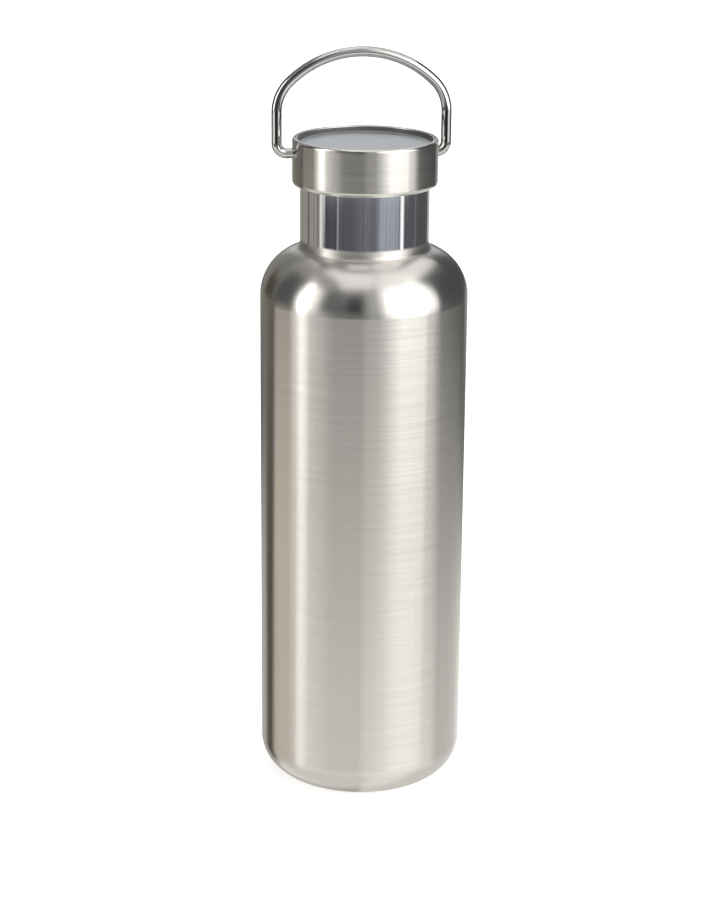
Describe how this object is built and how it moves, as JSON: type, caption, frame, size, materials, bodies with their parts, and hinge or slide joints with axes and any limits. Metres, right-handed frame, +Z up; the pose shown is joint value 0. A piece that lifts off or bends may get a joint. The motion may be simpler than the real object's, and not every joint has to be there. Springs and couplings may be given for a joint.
{
  "type": "vacuum bottle",
  "caption": "Double-walled stainless steel drinking bottle with a narrow neck, a screw cap with a dished top and a swinging wire bail.",
  "frame": {"origin": "centre of the foot ring's resting plane, on the bottle's axis", "axes": "+Z up along the bottle's axis, X along the bail's pivot axis, -Y is the front"},
  "size_m": [0.073, 0.073, 0.2666],
  "materials": {
    "brushed_body_steel": "satin",
    "base_cover_steel": "satin",
    "solder_glass": "gloss",
    "getter_metal": "matte",
    "clip_steel": "satin",
    "liner_steel": "satin",
    "brushed_cap_steel": "satin",
    "satin_dish_steel": "satin",
    "core_plastic": "satin",
    "plate_steel": "satin",
    "foam": "matte",
    "silicone": "matte",
    "polished_wire": "polished"
  },
  "bodies": {
    "bottle": {"outer_shell": "brushed_body_steel", "outer_bottom": "brushed_body_steel", "base_cover": "base_cover_steel", "vacuum_seal": "solder_glass", "getter": "getter_metal", "getter_clip": "clip_steel", "inner_liner": "liner_steel", "liner_bottom": "liner_steel"},
    "seal": {"sealing_ring": "silicone"},
    "cap": {"cap_shell": "brushed_cap_steel", "cap_dish": "satin_dish_steel", "cap_core": "core_plastic", "plug_plate": "plate_steel", "plug_foam": "foam"},
    "handle": {"bail": "polished_wire"}
  },
  "joints": [
    {"name": "cap_lift", "type": "slide", "parent": "bottle", "child": "seal", "axis": [0, 0, 1], "range_m": [0, 0.015]},
    {"name": "cap_turn", "type": "hinge", "parent": "seal", "child": "cap", "pos_m": [0, 0, 0.222], "axis": [0, 0, 1], "range_deg": [0, 1080]},
    {"name": "bail_swing", "type": "hinge", "parent": "cap", "child": "handle", "pos_m": [0, 0, 0.2302], "axis": [1, 0, 0], "range_deg": [-133, 133]}
  ],
  "couplings": [
    {"joint": "cap_lift", "follows": "cap_turn", "m_per_rad": 0.00079577}
  ]
}
